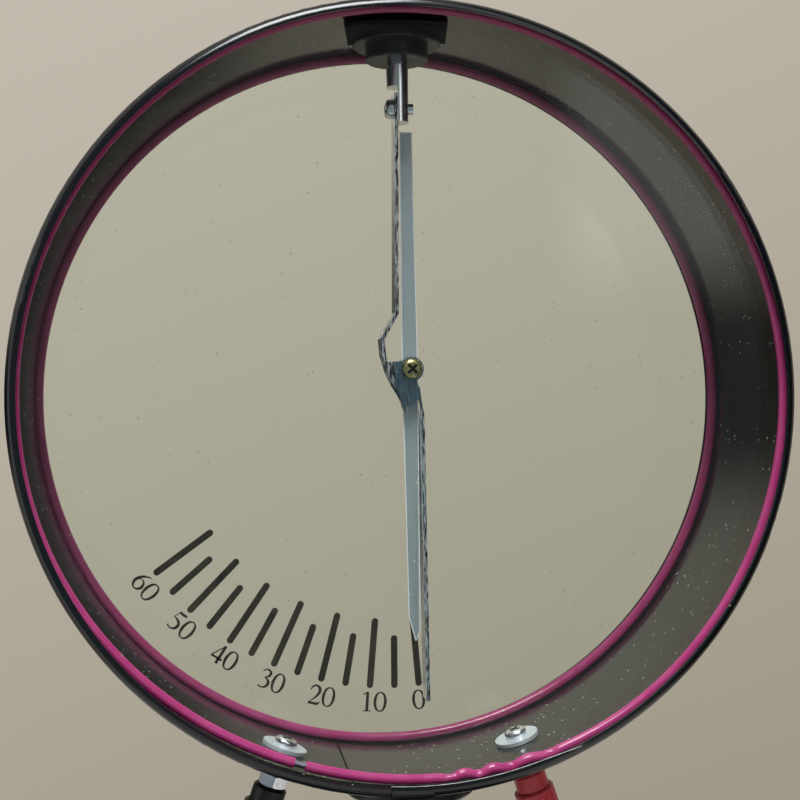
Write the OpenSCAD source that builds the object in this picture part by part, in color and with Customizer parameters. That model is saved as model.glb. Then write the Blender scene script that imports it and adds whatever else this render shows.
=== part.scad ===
// Pointer electroscope: a round glazed case on a column. A ball, a rod and a bent strip form the
// electrode, and a needle swings in the strip's window. Two binding posts earth the case.
// Origin: centre of the base's underside. +Z is up, the case faces -Y, its axis lies along Y.

/* [Case] */
// Height of the drum's axis above the table
drum_z = 195; // [180:1:215]
// Outer radius of the drum
drum_r = 100; // [98:0.5:102]
// Depth of the drum over its two rims
drum_depth = 56; // [54:0.5:60]
// Thickness of the drum's sheet
sheet_t = 0.6; // [0.5:0.1:0.8]
// Radius of the rolled rims
rim_r = 2.9; // [2.6:0.1:3.2]
// Thickness of the spacer band between the glasses
band_t = 0.8; // [0.6:0.1:1]
// Thickness of each glass
glass_t = 3; // [2.5:0.1:3]
// Outer diameter of the plastic sleeves on the retaining wires
sleeve_d = 2.6; // [2.4:0.1:2.7]
// Diameter of the retaining wires
wire_d = 1.7; // [1.5:0.1:1.8]

/* [Electrode] */
// Diameter of the rod
rod_d = 6; // [5.5:0.1:6.5]
// Diameter of the ball
ball_d = 30; // [24:1:36]
// Height of the ball's centre above the drum's axis
ball_up = 148; // [140:1:156]
// Width of the conductor strip, front to back
strip_w = 6; // [5.5:0.1:6.5]
// Thickness of the conductor strip
strip_t = 1; // [0.8:0.1:1.1]

/* [Needle] */
// Distance of the pivot to the right of the drum's axis
pivot_x = 2.05; // [1.9:0.05:2.1]
// Height of the pivot above the drum's axis
pivot_up = 7.5; // [7:0.1:8]
// Length of the needle above its pivot
needle_up = 63.9; // [60:0.1:64.5]
// Length of the needle below its pivot
needle_down = 73.1; // [70:0.1:76]
// Thickness of the needle
needle_t = 0.6; // [0.4:0.1:0.8]

/* [Binding posts] */
// Angle of the left post from straight down
left_deg = 20; // [18:0.1:22]
// Angle of the right post from straight down
right_deg = 17.7; // [16:0.1:20]
// Diameter of the post collars
collar_d = 9; // [8.6:0.1:9.4]
// Diameter of the post knobs
knob_d = 11; // [10.4:0.1:12]
// Length of the knobs
knob_len = 15; // [13:0.5:17]
// Radius of the socket in each post
socket_r = 2; // [2:0.01:2.02]

/* [Stand] */
// Diameter of the base
base_d = 140; // [130:1:150]
// Height of the base at its centre
base_h = 20; // [18:1:24]
// Diameter of the column
column_d = 14; // [12:0.5:16]

/* [Hidden] */
$fn = 96;
gap = 0.05;                              // play between pieces that are laid or pushed together

// Case
shell_in = drum_r - sheet_t;
band_out = shell_in - 2 * gap;
band_in = band_out - band_t;
half_depth = drum_depth / 2;
ring_y = half_depth - 4.6;               // plane of each retaining wire
glass_out = ring_y - sleeve_d / 2 - gap; // outer face of each glass
glass_in = glass_out - glass_t;
glass_r = shell_in - 0.4;
band_half = glass_in - gap;
wire_ring_r = 97.5;                      // middle of the wires, a little smaller than the shell
wire_lift = 0.5;                         // the front ring sits high in the rim
wire_shift = 0.3;                        // and the back one a little to the left
sleeve_gap_deg = 13.2;                   // the sleeve's ends leave the wire bare left of straight down
sleeve_gap_w = 2.6;
wire_ends_deg = 40;                      // the wire's own ends meet inside the sleeve
wire_ends_gap = 0.6;
seam_deg = 10.25;                        // the band's butt joint, also left of straight down
seam_w = 0.5;
lap_left = 9.1;                          // the sheet's two ends overlap from here
lap_right = 1.7;                         // to here, under the drum

// Insulating plug, heights above the drum's axis
plug_hole_r = 7;
flange_r = 13.5;
flange_low_r = 13.2;
flange_z = 95.7;
step_r = 11.85;
step_z = 94.3;
boss_r = 8.4;
boss_z = 90.4;
outer_r = 13;
outer_h = 5;
outer_neck_r = 4.9;
outer_top = 124;

// Rod and strip, places relative to the drum's axis
rod_low = 73.9;
flat_top = 83.4;
flat_x = -0.3;                           // the left half of the rod's end is milled away to here
strip_screw_z = 77.6;
strip_top = 81.4;
strip_low = -81.4;
window_top = 13.6;
window_low = -11.6;
window_w = 3.4;
ear_t = 0.9;
// The bent strip from its top down: along the rod, out to the left, then slanting under the pivot
strip_line = [
    [flat_x - strip_t / 2, strip_top], [flat_x - strip_t / 2, rod_low], [-1.6, 22.5],
    [-5.6, 15.6], [-5.3, 11.5], [-3.85, 6.6], [-2.35, 3.4], [-0.6, 0.6], [2.7, -6.2],
    [4.85, -11], [5, strip_low]
];
// Each ear fills the slant's bend towards the pivot, with a slit between its corner and the strip
back_ear_line = [
    [-3.85, 9.5], [-2.9, 8.7], [-2.3, 5.2], [-2.3, 3.3], [-0.6, 0.6], [2.7, -6.2], [4.85, -11],
    [4.95, -12], [5.1, -6.8], [4, 1.5], [pivot_x, pivot_up], [-0.6, 9.6]
];
// The front one is a tongue whose corner hangs over the needle, with a narrow rail down its right
rail_in = 4.2;
tongue_top = 2.4;
front_ear_line = [
    [-3.8, 9.5], [-2.8, 8.65], [-2.1, 5.2], [-1.8, 4.1], [-2.3, 3.3], [-1.95, tongue_top], [-1.4, 0.6],
    [-1.15, -0.75], [-0.65, -2.9], [0, -4.25], [0.5, -4.05], [3.75, -0.5], [rail_in, -2], [rail_in, -9],
    [4.55, -12.4], [5.3, -12], [5.38, -8.9], [5.3, -4.9], [4.6, -0.9], [4.2, 2.4], [3.6, 3.4],
    [pivot_x, pivot_up], [-0.6, 9.6]
];
ear_r = 3.3;
pivot_shank_r = 1.5;
pivot_in = 1.35;                         // the screws end here, each with a cup for the axle's point
cup_r = 0.95;
cup_foot_r = 0.08;
cup_deep = 0.63;
axle_r = 0.75;
axle_half = 1.9;                         // to the tips of its points
axle_point = 0.7;

// Posts, distances from the drum's axis
m4_r = 2;
m4_hole_r = 2.2;
washer_r = 6;
washer_t = 1;
washer_out = sqrt(pow(band_in, 2) - pow(washer_r, 2));
nut_h = 3.2;
nut_flats = 7;
left_collar_at = 108.6;
right_collar_at = 107.8;
collar_h = 4.9;
stud_r = 3;
insert_r = 4.4;
clamp_t = 0.8;
screw_end = 112.5;
knob_play = 0.05;

// Stand
neck_up = 76;                            // height of the neck's lower end
column_foot = base_h;
thread_r = 4;                            // the column's lower end

function arc_points(cx, cy, r, from, to, steps) =
    [for (i = [0:steps]) let (a = from + (to - from) * i / steps) [cx + r * cos(a), cy + r * sin(a)]];

function unit(v) = v / norm(v);
function left_of(v) = [-v[1], v[0]];

// Points of a path moved sideways by d, with mitred corners
function offset_path(p, d) = [
    for (i = [0:len(p) - 1])
        let (a = unit(p[i] - p[max(i - 1, 0)] + (i == 0 ? p[1] - p[0] : [0, 0])),
             b = unit(p[min(i + 1, len(p) - 1)] - p[i] + (i == len(p) - 1 ? p[i] - p[i - 1] : [0, 0])),
             m = unit(left_of(a) + left_of(b)))
        p[i] + m * d / (m * left_of(a))
];

function reversed(p) = [for (i = [len(p) - 1:-1:0]) p[i]];

module at_drum() {
    translate([0, 0, drum_z]) children();
}

// Local +Z runs along the drum's axis, to the back
module on_drum_axis() {
    at_drum() rotate([-90, 0, 0]) children();
}

// Local +Z points outward along a post that stands deg from straight down, to the right
module at_post(deg) {
    at_drum() rotate([0, 180 - deg, 0]) children();
}

// Flat outlines in X and Z, given a thickness along Y from y0 to y1
module front_plate(y0, y1) {
    translate([0, y1, 0]) rotate([90, 0, 0]) linear_extrude(y1 - y0) children();
}

module pan_head(d, h, cross = true) {
    dome = concat([[0, 0], [d / 2, 0], [d / 2, h * 0.4]], arc_points(d / 2 - h * 0.6, h * 0.4, h * 0.6, 0, 90, 6), [[0, h]]);
    difference() {
        rotate_extrude() polygon(dome);
        if (cross)
            for (a = [45, 135])
                translate([0, 0, h]) rotate([0, 0, a]) cube([d * 0.62, d * 0.15, h * 1.1], center = true);
    }
}

module hex_nut(flats, h, hole_r) {
    corner = flats / sqrt(3);
    bevel = corner - flats / 2;
    difference() {
        intersection() {
            cylinder(r = corner, h = h, $fn = 6);
            rotate_extrude()
                polygon([[0, 0], [flats / 2, 0], [corner, bevel * 0.6], [corner, h - bevel * 0.6], [flats / 2, h], [0, h]]);
        }
        translate([0, 0, -1]) cylinder(r = hole_r, h = h + 2);
    }
}

module ring(r_out, r_in, h) {
    difference() {
        cylinder(r = r_out, h = h);
        translate([0, 0, -1]) cylinder(r = r_in, h = h + 2);
    }
}

// Section of the drum's sheet between two distances from its outer face, with both rims
module sheet_section(from, to) {
    straight = half_depth - rim_r;
    translate([drum_r + from, -straight]) square([to - from, 2 * straight]);
    for (side = [0, 1])
        mirror([0, side]) translate([drum_r - rim_r, straight]) intersection() {
            difference() {
                circle(r = rim_r + to);
                circle(r = rim_r + from);
            }
            square(rim_r + to + 1);
        }
}

module post_holes(r) {
    for (deg = [-left_deg, right_deg])
        at_post(deg) translate([0, 0, band_in - 4]) cylinder(r = r, h = 12);
}

module drum_shell() {
    lap_from = asin(lap_left / drum_r);
    lap_to = asin(lap_right / drum_r);
    color([0.07, 0.07, 0.08]) difference() {
        union() {
            on_drum_axis() rotate_extrude($fn = 180) sheet_section(-sheet_t, 0);
            on_drum_axis() rotate([0, 0, 90 - lap_to]) rotate_extrude(angle = lap_from + lap_to, $fn = 180)
                sheet_section(-sheet_t / 2, sheet_t);
        }
        at_drum() translate([0, 0, drum_r - 8]) cylinder(r = plug_hole_r, h = 16);
        post_holes(m4_hole_r);
    }
}

module spacer_band() {
    color([0.2, 0.2, 0.18]) difference() {
        on_drum_axis() translate([0, 0, -band_half]) ring(band_out, band_in, 2 * band_half, $fn = 180);
        at_drum() translate([0, 0, drum_r - 8]) cylinder(r = plug_hole_r, h = 16);
        post_holes(m4_hole_r);
        at_post(-seam_deg) translate([0, 0, band_in + band_t / 2])
            cube([seam_w, 2 * band_half + 2, 4], center = true);
    }
}

module glass_disc() {
    color([0.75, 0.82, 0.78, 0.3]) cylinder(r = glass_r, h = glass_t, $fn = 180);
}

module front_glass() {
    on_drum_axis() translate([0, 0, -glass_out]) glass_disc();
}

module back_glass() {
    on_drum_axis() translate([0, 0, glass_in]) glass_disc();
}

// An open hoop whose ends face each other at deg from straight down, to the left
module hoop(deg, end_gap) {
    gap_deg = end_gap / wire_ring_r * 180 / PI;
    rotate([0, 0, 90 + deg + gap_deg / 2])
        rotate_extrude(angle = 360 - gap_deg, $fn = 180) translate([wire_ring_r, 0]) children();
}

module wire_ring() {
    color([0.45, 0.48, 0.52]) hoop(wire_ends_deg, wire_ends_gap) circle(d = wire_d, $fn = 24);
}

module wire_sleeve() {
    color([0.72, 0.2, 0.52]) hoop(sleeve_gap_deg, sleeve_gap_w)
        difference() {
            circle(d = sleeve_d, $fn = 32);
            circle(d = wire_d + 2 * gap, $fn = 24);
        }
}

module front_retaining_wire() {
    translate([0, 0, wire_lift]) on_drum_axis() translate([0, 0, -ring_y]) wire_ring();
}

module front_wire_sleeve() {
    translate([0, 0, wire_lift]) on_drum_axis() translate([0, 0, -ring_y]) wire_sleeve();
}

module back_retaining_wire() {
    translate([-wire_shift, 0, 0]) on_drum_axis() translate([0, 0, ring_y]) wire_ring();
}

module back_wire_sleeve() {
    translate([-wire_shift, 0, 0]) on_drum_axis() translate([0, 0, ring_y]) wire_sleeve();
}

// The stepped inner half, shaped on top to the band, with a spigot up through the shell
module insulating_plug() {
    spigot_r = plug_hole_r - gap;
    spigot_top = drum_r + outer_h - 1;
    color([0.06, 0.06, 0.06]) at_drum() difference() {
        union() {
            intersection() {
                rotate_extrude() polygon([
                    [0, boss_z], [boss_r - 0.4, boss_z], [boss_r, boss_z + 0.4], [boss_r, step_z],
                    [step_r - 0.3, step_z], [step_r, step_z + 0.3], [step_r, flange_z], [flange_low_r - 0.3, flange_z],
                    [flange_low_r, flange_z + 0.3], [flange_r, drum_r], [0, drum_r]
                ]);
                rotate([90, 0, 0]) cylinder(r = band_in - gap, h = 60, center = true, $fn = 180);
            }
            translate([0, 0, flange_z]) cylinder(r = spigot_r, h = spigot_top - flange_z);
        }
        translate([0, 0, boss_z - 1]) cylinder(r = rod_d / 2 + gap, h = 40);
    }
}

// The outer half sits on the drum, takes the spigot and ends in a slim neck round the rod
module outer_insulator() {
    color([0.06, 0.06, 0.06]) at_drum() difference() {
        rotate_extrude() polygon(concat(
            [[0, drum_r - 3], [outer_r, drum_r - 3], [outer_r, drum_r + outer_h - 0.8],
             [outer_r - 0.8, drum_r + outer_h], [outer_neck_r + 3, drum_r + outer_h]],
            arc_points(outer_neck_r + 3, drum_r + outer_h + 3, 3, -90, -180, 6),
            [[outer_neck_r, outer_top - 0.8], [outer_neck_r - 0.8, outer_top], [0, outer_top]]
        ));
        rotate([90, 0, 0]) cylinder(r = drum_r + gap, h = 60, center = true, $fn = 180);
        translate([0, 0, drum_r - 6]) cylinder(r = plug_hole_r, h = outer_h + 5.1);
        translate([0, 0, drum_r - 6]) cylinder(r = rod_d / 2 + gap, h = 40);
    }
}

module electrode_rod() {
    color([0.75, 0.76, 0.78]) at_drum() difference() {
        translate([0, 0, rod_low]) cylinder(d = rod_d, h = ball_up - rod_low);
        translate([flat_x - 10, -10, rod_low - 1]) cube([10, 20, flat_top - rod_low + 1]);
        translate([0, 0, strip_screw_z]) rotate([0, 90, 0]) cylinder(r = 1.5 + gap, h = 20, center = true);
    }
}

module top_ball() {
    color([0.8, 0.81, 0.83]) at_drum() difference() {
        translate([0, 0, ball_up]) sphere(d = ball_d);
        translate([0, 0, ball_up - ball_d]) cylinder(r = rod_d / 2 + gap, h = ball_d + 0.3);
    }
}

module ear(line) {
    difference() {
        union() {
            polygon(line);
            translate([pivot_x, pivot_up]) circle(r = ear_r);
        }
        translate([pivot_x, pivot_up]) circle(r = pivot_shank_r + gap);
    }
}

module conductor_strip() {
    outline = concat(offset_path(strip_line, strip_t / 2), reversed(offset_path(strip_line, -strip_t / 2)));
    color([0.62, 0.64, 0.66]) at_drum() {
        difference() {
            front_plate(-strip_w / 2, strip_w / 2) polygon(outline);
            translate([-10, -window_w / 2, window_low]) cube([20, window_w, window_top - window_low]);
            translate([rail_in - 10, -strip_w, -13]) cube([10, strip_w - window_w / 2 + 0.01, 13 + tongue_top]);
            translate([0, 0, strip_screw_z]) rotate([0, 90, 0]) cylinder(r = 1.5 + gap, h = 20, center = true);
        }
        front_plate(-strip_w / 2, -strip_w / 2 + ear_t) ear(front_ear_line);
        front_plate(strip_w / 2 - ear_t, strip_w / 2) ear(back_ear_line);
    }
}

// Driven in from the left; its end stands out a little on the rod's right side
module strip_screw() {
    color([0.7, 0.71, 0.73]) at_drum() translate([flat_x - strip_t, 0, strip_screw_z]) rotate([0, -90, 0]) {
        translate([0, 0, gap]) pan_head(5.2, 2.1);
        translate([0, 0, -5.4]) cylinder(r = 1.5, h = 5.4 + 2 * gap);
    }
}

// Head outside the ear, a conical cup in the inner end
module pivot_screw() {
    shank = strip_w / 2 - pivot_in;
    color([0.72, 0.6, 0.3]) difference() {
        union() {
            translate([0, 0, gap]) pan_head(5.4, 1.9);
            translate([0, 0, -shank]) cylinder(r = pivot_shank_r, h = shank + 2 * gap);
        }
        translate([0, 0, -shank]) cylinder(r1 = cup_r, r2 = cup_foot_r, h = cup_deep);
    }
}

module front_pivot_screw() {
    translate([pivot_x, -strip_w / 2, drum_z + pivot_up]) rotate([90, 0, 0]) pivot_screw();
}

module back_pivot_screw() {
    translate([pivot_x, strip_w / 2, drum_z + pivot_up]) rotate([-90, 0, 0]) pivot_screw();
}

module needle() {
    top_w = 3.3;
    mid_w = 4.4;
    low_w = 3.1;
    color([0.45, 0.5, 0.52]) translate([pivot_x, 0, drum_z + pivot_up]) difference() {
        front_plate(-needle_t / 2, needle_t / 2) polygon([
            [-top_w / 2, needle_up], [-mid_w / 2, 2], [-mid_w / 2, -2], [-low_w / 2, -66.5],
            [0.15, -needle_down], [0.45, -needle_down], [low_w / 2, -70.3], [mid_w / 2, -2], [mid_w / 2, 2],
            [top_w / 2, needle_up]
        ]);
        rotate([90, 0, 0]) cylinder(r = 1.2 + gap, h = 4, center = true);
    }
}

// A small flanged bush riveted through the needle
module needle_hub() {
    color([0.72, 0.6, 0.3]) translate([pivot_x, 0, drum_z + pivot_up]) rotate([90, 0, 0]) difference() {
        union() {
            translate([0, 0, -1]) cylinder(r = 1.2, h = 2);
            for (side = [0, 1]) mirror([0, 0, side])
                translate([0, 0, needle_t / 2 + gap / 2]) cylinder(r = 1.9, h = 0.6);
        }
        cylinder(r = axle_r + 0.01, h = 4, center = true);
    }
}

module needle_axle() {
    straight = axle_half - axle_point;
    color([0.5, 0.51, 0.53]) translate([pivot_x, 0, drum_z + pivot_up]) rotate([90, 0, 0]) rotate_extrude()
        polygon([[0, -axle_half], [axle_r, -straight], [axle_r, straight], [0, axle_half]]);
}

// The head lies on the inner washer and the shank runs outward
module post_screw() {
    head_at = washer_out - washer_t - gap;
    color([0.75, 0.76, 0.78]) {
        translate([0, 0, head_at]) mirror([0, 0, 1]) pan_head(7, 2.6);
        translate([0, 0, head_at - gap]) cylinder(r = m4_r, h = screw_end - head_at);
    }
}

module post_washer() {
    color([0.78, 0.79, 0.8]) translate([0, 0, washer_out - washer_t]) ring(washer_r, m4_hole_r, washer_t);
}

module shell_nut() {
    color([0.8, 0.81, 0.82]) translate([0, 0, drum_r + gap]) hex_nut(nut_flats, nut_h, m4_r + gap);
}

module post_collar(at) {
    bevel = 0.7;
    translate([0, 0, at]) difference() {
        rotate_extrude() polygon([
            [0, 0], [collar_d / 2 - bevel, 0], [collar_d / 2, bevel], [collar_d / 2, collar_h], [0, collar_h]
        ]);
        translate([0, 0, -1]) cylinder(r = stud_r + gap, h = collar_h + 2);
    }
}

// Screwed on the M4 screw at its inner end, with the socket in its outer end
module post_stud(at) {
    foot = at + 0.1;
    end = at + collar_h + knob_len;
    color([0.8, 0.68, 0.35]) difference() {
        translate([0, 0, foot]) cylinder(r = stud_r, h = end - foot);
        translate([0, 0, foot - 1]) cylinder(r = m4_r + gap, h = screw_end - foot + 1.5);
        translate([0, 0, end - 13]) cylinder(r = socket_r, h = 14);
    }
}

module clamp_washer(at) {
    color([0.8, 0.81, 0.82]) translate([0, 0, at + collar_h + gap]) ring(insert_r, stud_r + knob_play, clamp_t);
}

module knob_insert(at) {
    color([0.8, 0.68, 0.35]) translate([0, 0, at + collar_h + 2 * gap + clamp_t])
        ring(insert_r, stud_r + knob_play, knob_len - 2.6);
}

// Fluted sleeve with a skirt round the captive washer and a mouth for the plug
module post_knob(at) {
    flutes = 16;
    start = at + collar_h + 2 * gap;
    mouth_r = 2.6;
    translate([0, 0, start]) difference() {
        rotate_extrude() polygon([
            [0, 0], [knob_d / 2 - 0.4, 0], [knob_d / 2, 0.4], [knob_d / 2, knob_len - 0.6], [knob_d / 2 - 1, knob_len + 0.6], [0, knob_len + 0.6]
        ]);
        translate([0, 0, -1]) cylinder(r = insert_r + gap, h = knob_len - 0.6);
        translate([0, 0, -1]) cylinder(r = stud_r + knob_play + gap, h = knob_len + 1);
        translate([0, 0, -1]) cylinder(r = mouth_r, h = knob_len + 4);
        for (i = [0:flutes - 1]) rotate([0, 0, i * 360 / flutes])
            translate([knob_d / 2 + 0.25, 0, 1.2]) cylinder(r = 0.6, h = knob_len - 2.6, $fn = 24);
    }
}

module left_post_screw() { at_post(-left_deg) post_screw(); }
module left_post_washer() { at_post(-left_deg) post_washer(); }
module left_shell_nut() { at_post(-left_deg) shell_nut(); }
module left_lock_nut() {
    color([0.85, 0.86, 0.86]) at_post(-left_deg) translate([0, 0, left_collar_at - nut_h - gap])
        rotate([0, 0, 30]) hex_nut(nut_flats, nut_h, m4_r + gap);
}
module left_post_collar() { color([0.06, 0.06, 0.07]) at_post(-left_deg) post_collar(left_collar_at); }
module left_post_stud() { at_post(-left_deg) post_stud(left_collar_at); }
module left_clamp_washer() { at_post(-left_deg) clamp_washer(left_collar_at); }
module left_knob_insert() { at_post(-left_deg) knob_insert(left_collar_at); }
module left_knob() { color([0.06, 0.06, 0.07]) at_post(-left_deg) post_knob(left_collar_at); }

module right_post_screw() { at_post(right_deg) post_screw(); }
module right_post_washer() { at_post(right_deg) post_washer(); }
module right_shell_nut() { at_post(right_deg) shell_nut(); }
module right_end_washer() {
    color([0.78, 0.79, 0.8]) at_post(right_deg) translate([0, 0, right_collar_at - 0.5 - gap])
        ring(4.3, m4_r + gap, 0.5);
}
module right_post_collar() { color([0.66, 0.16, 0.18]) at_post(right_deg) post_collar(right_collar_at); }
module right_post_stud() { at_post(right_deg) post_stud(right_collar_at); }
module right_clamp_washer() { at_post(right_deg) clamp_washer(right_collar_at); }
module right_knob_insert() { at_post(right_deg) knob_insert(right_collar_at); }
module right_knob() { color([0.66, 0.16, 0.18]) at_post(right_deg) post_knob(right_collar_at); }

// Flared neck, shaped to the drum and to its lap, with a socket for the column
module neck() {
    top = drum_z - drum_r + 3;
    flare_r = 18;
    stem_r = column_d / 2 + 2;
    curve = 9.5;
    cut_r = drum_r + gap;
    lap_cut_r = drum_r + sheet_t + gap;
    color([0.05, 0.05, 0.055]) difference() {
        rotate_extrude() polygon(concat(
            [[0, neck_up], [stem_r - 0.8, neck_up], [stem_r, neck_up + 0.8]],
            arc_points(stem_r + curve, drum_z - drum_r - 14.8, curve, 180, 100, 8),
            [[flare_r, drum_z - drum_r - 4.4], [flare_r, top], [0, top]]
        ));
        on_drum_axis() cylinder(r = cut_r, h = 60, center = true, $fn = 180);
        intersection() {
            on_drum_axis() cylinder(r = lap_cut_r, h = 60, center = true, $fn = 180);
            translate([-lap_left - 0.3, -30, 0]) cube([lap_left + lap_right + 0.6, 60, drum_z]);
        }
        translate([0, 0, neck_up - 1]) cylinder(d = column_d + 2 * gap, h = 5);
    }
}

module column() {
    top = neck_up + 3.9;
    bevel = 0.8;
    color([0.08, 0.08, 0.09]) rotate_extrude() polygon([
        [0, 4.5], [thread_r, 4.5], [thread_r, column_foot + gap], [column_d / 2 - bevel, column_foot + gap],
        [column_d / 2, column_foot + gap + bevel], [column_d / 2, top], [0, top]
    ]);
}

// Turned disc with a rolled edge, a raised boss for the column and a hollow for the nut below
module base() {
    r = base_d / 2;
    edge = 5;
    boss = 16;
    color([0.06, 0.06, 0.065]) difference() {
        rotate_extrude($fn = 144) polygon(concat(
            [[0, 0], [r - 1, 0], [r, 1], [r, edge]],
            arc_points(r - 4, edge, 4, 0, 80, 8),
            [[boss + 14, 13.2]],
            arc_points(boss + 8, 20.6, 7.5, -75, -165, 8),
            [[boss - 4, base_h], [0, base_h]]
        ));
        translate([0, 0, -1]) cylinder(r = thread_r + 0.25, h = base_h + 2);
        translate([0, 0, -1]) cylinder(r = 14, h = 14);
    }
}

module base_washer() {
    color([0.75, 0.76, 0.78]) translate([0, 0, 11.3]) ring(10, thread_r + 0.25, 1.6);
}

module base_nut() {
    color([0.75, 0.76, 0.78]) translate([0, 0, 4.9]) hex_nut(13, 6.3, thread_r + gap);
}

drum_shell();
spacer_band();
front_glass();
back_glass();
front_retaining_wire();
front_wire_sleeve();
back_retaining_wire();
back_wire_sleeve();
insulating_plug();
outer_insulator();
electrode_rod();
top_ball();
conductor_strip();
strip_screw();
front_pivot_screw();
back_pivot_screw();
needle();
needle_hub();
needle_axle();
left_post_screw();
left_post_washer();
left_shell_nut();
left_lock_nut();
left_post_collar();
left_post_stud();
left_clamp_washer();
left_knob_insert();
left_knob();
right_post_screw();
right_post_washer();
right_shell_nut();
right_end_washer();
right_post_collar();
right_post_stud();
right_clamp_washer();
right_knob_insert();
right_knob();
neck();
column();
base();
base_washer();
base_nut();
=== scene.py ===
"""Looks of the pointer electroscope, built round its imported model.

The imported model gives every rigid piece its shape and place. This script dresses those pieces with
procedural finishes, builds anew what is printed, wrinkled, bevelled or finely carved, and sets up the
studio and the camera. Everything is in metres in the model's own frame: the origin is under the middle
of the base, +Z is up and the glazed front faces -Y.
"""

from __future__ import annotations

import logging
import math
from dataclasses import dataclass, field
from enum import Enum
from typing import Callable, Iterable, Mapping, Sequence

import bmesh
import bpy
from mathutils import Matrix, Vector

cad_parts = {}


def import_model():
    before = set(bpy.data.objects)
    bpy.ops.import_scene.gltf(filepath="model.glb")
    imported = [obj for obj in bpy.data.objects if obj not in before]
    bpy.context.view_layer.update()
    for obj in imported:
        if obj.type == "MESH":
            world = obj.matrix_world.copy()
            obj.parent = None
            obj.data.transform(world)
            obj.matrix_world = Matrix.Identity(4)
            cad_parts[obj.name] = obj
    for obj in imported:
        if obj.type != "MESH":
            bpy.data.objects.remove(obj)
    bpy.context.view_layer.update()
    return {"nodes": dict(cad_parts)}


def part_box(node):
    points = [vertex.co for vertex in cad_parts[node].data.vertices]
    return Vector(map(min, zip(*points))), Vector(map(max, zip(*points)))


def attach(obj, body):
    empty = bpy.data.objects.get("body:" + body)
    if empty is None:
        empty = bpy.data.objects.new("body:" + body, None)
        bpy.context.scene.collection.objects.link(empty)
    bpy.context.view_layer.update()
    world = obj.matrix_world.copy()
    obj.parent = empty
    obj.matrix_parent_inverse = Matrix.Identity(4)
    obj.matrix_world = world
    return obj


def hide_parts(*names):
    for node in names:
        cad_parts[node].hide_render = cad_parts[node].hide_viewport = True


LOG = logging.getLogger("electroscope")
MM = 0.001
CASE = "case"
POINTER = "pointer"

Colour = tuple[float, float, float]
Point = tuple[float, float]
Stroke = tuple[tuple[float, float, float], ...]
Place = Callable[[float, float, float], Vector]
Shape = bmesh.types.BMesh
Piece = bpy.types.Object
Face = bpy.types.MeshPolygon
Tree = bpy.types.NodeTree
Node = bpy.types.Node
Socket = bpy.types.NodeSocket
Material = bpy.types.Material

EVEN = (1.0, 1.0, 1.0)  # a grain without direction


def srgb(red: int, green: int, blue: int) -> Colour:
    """Turn 8-bit display values into a linear colour."""

    def linear(value: int) -> float:
        """One channel, from its display value to linear light."""
        share = value / 255
        return share / 12.92 if share <= 0.04045 else ((share + 0.055) / 1.055) ** 2.4

    return linear(red), linear(green), linear(blue)


class Graph:
    """A thin wrapper that adds and links nodes of one node tree."""

    def __init__(self, tree: Tree) -> None:
        """Keep the tree that nodes are added to."""
        self.tree = tree

    def feed(self, socket: Socket, value: object) -> None:
        """Link a socket to another one, or set it to a plain value."""
        if isinstance(value, Socket):
            self.tree.links.new(value, socket)
        elif socket.type == "RGBA" and len(value) == 3:
            socket.default_value = (*value, 1.0)
        else:
            socket.default_value = value

    def add(self, kind: str, settings: dict | None = None, **inputs: object) -> Node:
        """Add a node, set its properties, and set or link its inputs.

        Args:
            kind: The node's type, without the ShaderNode prefix.
            settings: Properties of the node itself.
            **inputs: Inputs by name, with _ for a space; a socket is linked and a value is set.
                A name such as in0 means the input with that number.

        Returns:
            The new node.
        """
        node = self.tree.nodes.new("ShaderNode" + kind)
        for name, value in (settings or {}).items():
            setattr(node, name, value)
        for name, value in inputs.items():
            numbered = name.startswith("in") and name[2:].isdigit()
            self.feed(node.inputs[int(name[2:]) if numbered else name.replace("_", " ")], value)
        return node

    def math(self, operation: str, first: object, second: object = 0.0, third: object = 0.0) -> Socket:
        """Add a Math node and return its output."""
        return self.add("Math", {"operation": operation}, in0=first, in1=second, in2=third).outputs[0]

    def times(self, first: object, second: object) -> Socket:
        """Multiply two numbers."""
        return self.math("MULTIPLY", first, second)

    def clamp(self, value: Socket) -> Socket:
        """Keep a value between 0 and 1."""
        return self.add("Clamp", None, Value=value).outputs[0]

    def mix(self, factor: object, first: object, second: object) -> Socket:
        """Mix two colours and return the result."""
        return self.add("Mix", {"data_type": "RGBA"}, in0=factor, in6=first, in7=second).outputs[2]

    def ramp(self, value: Socket, low: float, high: float) -> Socket:
        """Stretch a value so that low gives 0 and high gives 1, with a smooth step between."""
        settings = {"interpolation_type": "SMOOTHSTEP"}
        return self.add("MapRange", settings, Value=value, From_Min=low, From_Max=high).outputs[0]

    def place(self) -> Socket:
        """The place on the piece, in metres."""
        return self.add("TexCoord").outputs["Object"]

    def axes(self, vector: Socket) -> Sequence[Socket]:
        """The three numbers of a vector."""
        return self.add("SeparateXYZ", None, Vector=vector).outputs[:3]

    def noise(self, scale: object, detail: object, at: Socket | None = None) -> Socket:
        """Cloud noise, at the place on the piece unless another is given."""
        at = self.place() if at is None else at
        return self.add("TexNoise", None, Vector=at, Scale=scale, Detail=detail).outputs[0]

    def mask(self, effect: Tree, **inputs: object) -> Socket:
        """Place a shared effect, fill its inputs and return its mask."""
        node = self.tree.nodes.new("ShaderNodeGroup")
        node.node_tree = effect
        for name, value in inputs.items():
            self.feed(node.inputs[name], value)
        return node.outputs["Mask"]


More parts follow.
